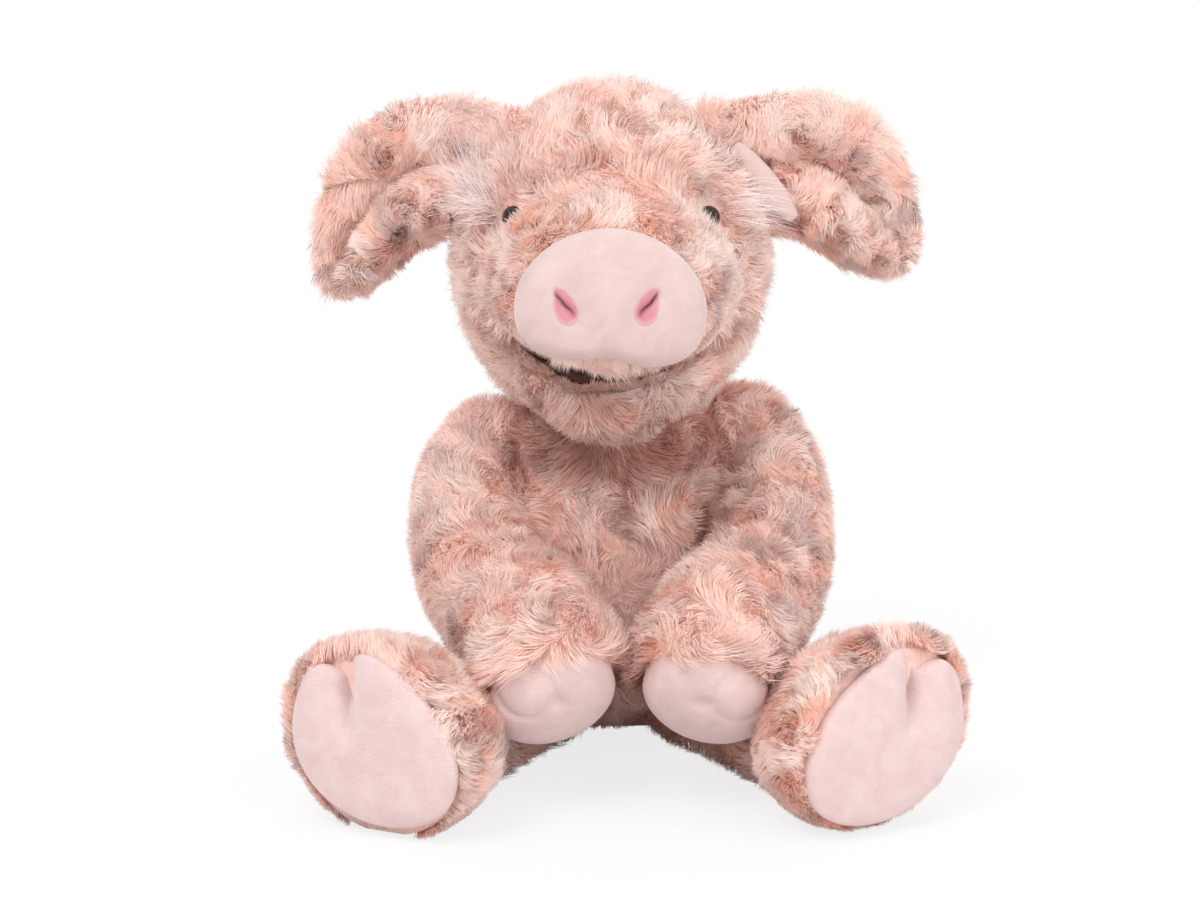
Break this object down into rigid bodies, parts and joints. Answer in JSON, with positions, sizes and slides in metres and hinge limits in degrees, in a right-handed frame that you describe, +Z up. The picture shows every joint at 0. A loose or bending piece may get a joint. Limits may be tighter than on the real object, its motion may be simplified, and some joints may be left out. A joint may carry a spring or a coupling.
{
  "type": "plush pig",
  "caption": "Sitting plush pig with a stuffed fur body, turning head, floppy lined ears, swinging arms with velour hoofs and splayed legs with flat velour soles",
  "frame": {"origin": "centre of the footprint box, on the plane that the toy sits on", "axes": "+Z up, -Y the way the pig faces, +X the pig's own left side"},
  "size_m": [0.2442, 0.2292, 0.2513],
  "materials": {
    "fur": "matte",
    "velour": "matte",
    "nostril": "matte",
    "stuffing": "matte",
    "bean_bag": "matte",
    "bead": "gloss",
    "washer": "matte",
    "lash": "satin"
  },
  "bodies": {
    "body": {"body_cover": "fur", "body_stuffing": "stuffing", "bean_bag": "bean_bag", "tail": "fur"},
    "head": {"head_cover": "fur", "head_stuffing": "stuffing", "muzzle": "fur", "snout": "velour", "nostril_left": "nostril", "nostril_right": "nostril", "lower_jaw": "fur", "eye_left": "bead", "eye_right": "bead", "eye_washer_left": "washer", "eye_washer_right": "washer", "lash_tuft_left": "lash", "lash_tuft_right": "lash"},
    "ear_left": {"ear_left_fur": "fur", "ear_left_lining": "velour"},
    "ear_right": {"ear_right_fur": "fur", "ear_right_lining": "velour"},
    "arm_left": {"arm_left_cover": "fur", "arm_left_stuffing": "stuffing", "hoof_left": "velour"},
    "arm_right": {"arm_right_cover": "fur", "arm_right_stuffing": "stuffing", "hoof_right": "velour"},
    "leg_left": {"leg_left_cover": "fur", "leg_left_stuffing": "stuffing", "foot_left_cover": "fur", "foot_left_stuffing": "stuffing", "sole_left": "velour"},
    "leg_right": {"leg_right_cover": "fur", "leg_right_stuffing": "stuffing", "foot_right_cover": "fur", "foot_right_stuffing": "stuffing", "sole_right": "velour"}
  },
  "joints": [
    {"name": "neck", "type": "hinge", "parent": "body", "child": "head", "pos_m": [-0.00615, 0.02022, 0.13], "axis": [0, 0, 1], "range_deg": [-40, 40]},
    {"name": "ear_left", "type": "hinge", "parent": "head", "child": "ear_left", "pos_m": [0.03928, 0.02022, 0.2228], "axis": [0.5, 0, -0.866], "range_deg": [-35, 35]},
    {"name": "ear_right", "type": "hinge", "parent": "head", "child": "ear_right", "pos_m": [-0.05157, 0.02022, 0.2228], "axis": [0.5, 0, 0.866], "range_deg": [-35, 35]},
    {"name": "shoulder_left", "type": "hinge", "parent": "body", "child": "arm_left", "pos_m": [0.03435, 0.02722, 0.108], "axis": [-1, 0, 0], "range_deg": [0, 45]},
    {"name": "shoulder_right", "type": "hinge", "parent": "body", "child": "arm_right", "pos_m": [-0.04165, 0.02722, 0.108], "axis": [-1, 0, 0], "range_deg": [0, 45]},
    {"name": "hip_left", "type": "hinge", "parent": "body", "child": "leg_left", "pos_m": [0.03236, 0.01122, 0.026], "axis": [0, 0, 1], "range_deg": [0, 25]},
    {"name": "hip_right", "type": "hinge", "parent": "body", "child": "leg_right", "pos_m": [-0.03964, 0.01122, 0.026], "axis": [0, 0, -1], "range_deg": [0, 25]}
  ]
}
